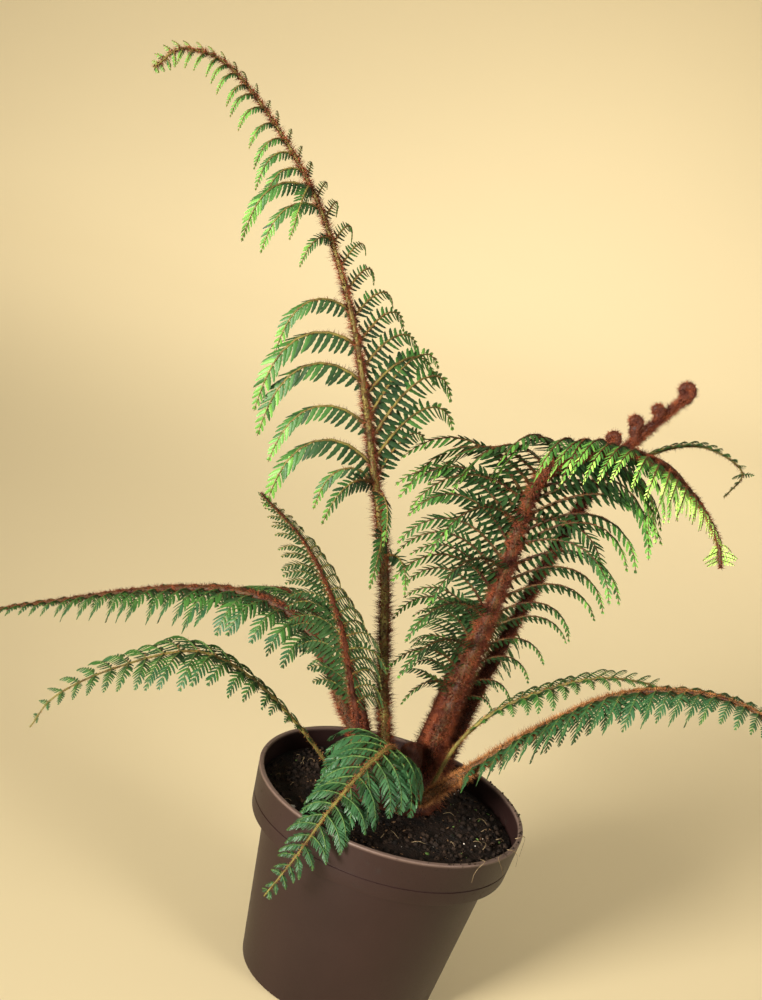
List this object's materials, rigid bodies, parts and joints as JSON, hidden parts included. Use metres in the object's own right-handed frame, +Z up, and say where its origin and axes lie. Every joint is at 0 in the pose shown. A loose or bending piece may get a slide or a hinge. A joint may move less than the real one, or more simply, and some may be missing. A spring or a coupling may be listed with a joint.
{
  "type": "potted young tree fern",
  "caption": "Young tree fern in a round nursery pot: hairy stipes, arching feathery fronds and one coiled young frond.",
  "frame": {"origin": "centre of the pot's flat underside", "axes": "+Z up along the pot's axis; -Y is the side seen from the front, with the tall frond leaning towards -X"},
  "size_m": [0.572, 0.3978, 0.5869],
  "materials": {
    "pot": "satin",
    "soil": "matte",
    "stipe": "matte",
    "scales": "matte",
    "foliage": "satin"
  },
  "bodies": {
    "root": {"pot": "pot", "soil": "soil", "crown_base": "stipe", "old_stipe_stub": "stipe", "back_frond_inner_blade": "foliage", "back_frond_outer_blade": "foliage", "back_frond_stipe": "stipe", "back_left_frond_inner_blade": "foliage", "back_left_frond_outer_blade": "foliage", "back_left_frond_stipe": "stipe", "big_frond_arch": "foliage", "big_frond_left_pinna_1": "foliage", "big_frond_left_pinna_2": "foliage", "big_frond_left_pinna_3": "foliage", "big_frond_left_pinna_4": "foliage", "big_frond_left_pinna_5": "foliage", "big_frond_left_pinna_6": "foliage", "big_frond_left_pinna_7": "foliage", "big_frond_left_pinna_8": "foliage", "big_frond_right_pinna_1": "foliage", "big_frond_right_pinna_2": "foliage", "big_frond_right_pinna_3": "foliage", "big_frond_right_pinna_4": "foliage", "big_frond_right_pinna_5": "foliage", "big_frond_right_pinna_6": "foliage", "big_frond_right_pinna_7": "foliage", "big_frond_right_pinna_8": "foliage", "big_frond_stem": "stipe", "big_frond_stipe": "stipe", "big_frond_tip": "foliage", "front_frond_hanging_blade": "foliage", "front_frond_stipe": "stipe", "front_frond_upper_blade": "foliage", "left_frond_inner_blade": "foliage", "left_frond_outer_blade": "foliage", "left_frond_stipe": "stipe", "left_frond_tip": "foliage", "low_left_frond_inner_blade": "foliage", "low_left_frond_outer_blade": "foliage", "low_left_frond_stipe": "stipe", "low_left_frond_tip": "foliage", "low_right_frond_blade": "foliage", "low_right_frond_stipe": "stipe", "right_frond_inner_blade": "foliage", "right_frond_outer_blade": "foliage", "right_frond_stipe": "stipe", "right_frond_tip": "foliage", "tall_frond_arch": "foliage", "tall_frond_lower_blade": "foliage", "tall_frond_stipe": "stipe", "tall_frond_upper_blade": "foliage", "upright_frond_blade": "foliage", "upright_frond_stipe": "stipe", "young_frond_bud_1": "scales", "young_frond_bud_2": "scales", "young_frond_bud_3": "scales", "young_frond_coil": "scales", "young_frond_pinna_blade": "foliage", "young_frond_stipe": "stipe"}
  },
  "joints": []
}
